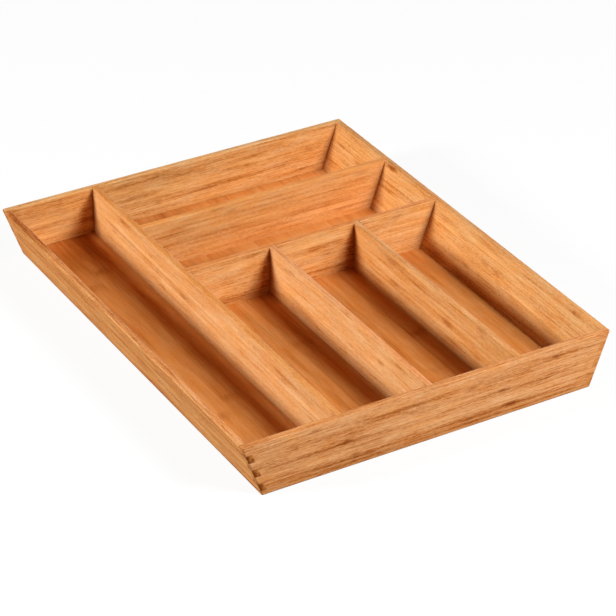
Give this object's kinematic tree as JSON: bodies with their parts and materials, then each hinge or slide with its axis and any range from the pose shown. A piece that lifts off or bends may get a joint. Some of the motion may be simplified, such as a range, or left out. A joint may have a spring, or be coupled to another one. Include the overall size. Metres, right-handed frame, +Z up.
{
  "type": "cutlery tray",
  "caption": "Shallow wooden cutlery tray with outward-leaning sides, finger-jointed corners and fixed dividers.",
  "frame": {"origin": "middle of the tray's plan, on the plane that the walls stand on", "axes": "+X to the right along the front wall, +Y to the back along the side walls, +Z up"},
  "size_m": [0.3592, 0.45, 0.052],
  "materials": {
    "wall_bamboo": "satin lacquered laminated bamboo, honey brown",
    "divider_bamboo": "satin lacquered laminated bamboo, honey brown",
    "panel_bamboo": "satin lacquered laminated bamboo, honey brown"
  },
  "bodies": {
    "root": {"front_wall": "wall_bamboo", "back_wall": "wall_bamboo", "left_wall": "wall_bamboo", "right_wall": "wall_bamboo", "bottom_panel": "panel_bamboo", "long_divider": "divider_bamboo", "rear_cross_divider": "divider_bamboo", "middle_cross_divider": "divider_bamboo", "front_divider_1": "divider_bamboo", "front_divider_2": "divider_bamboo"}
  },
  "joints": []
}
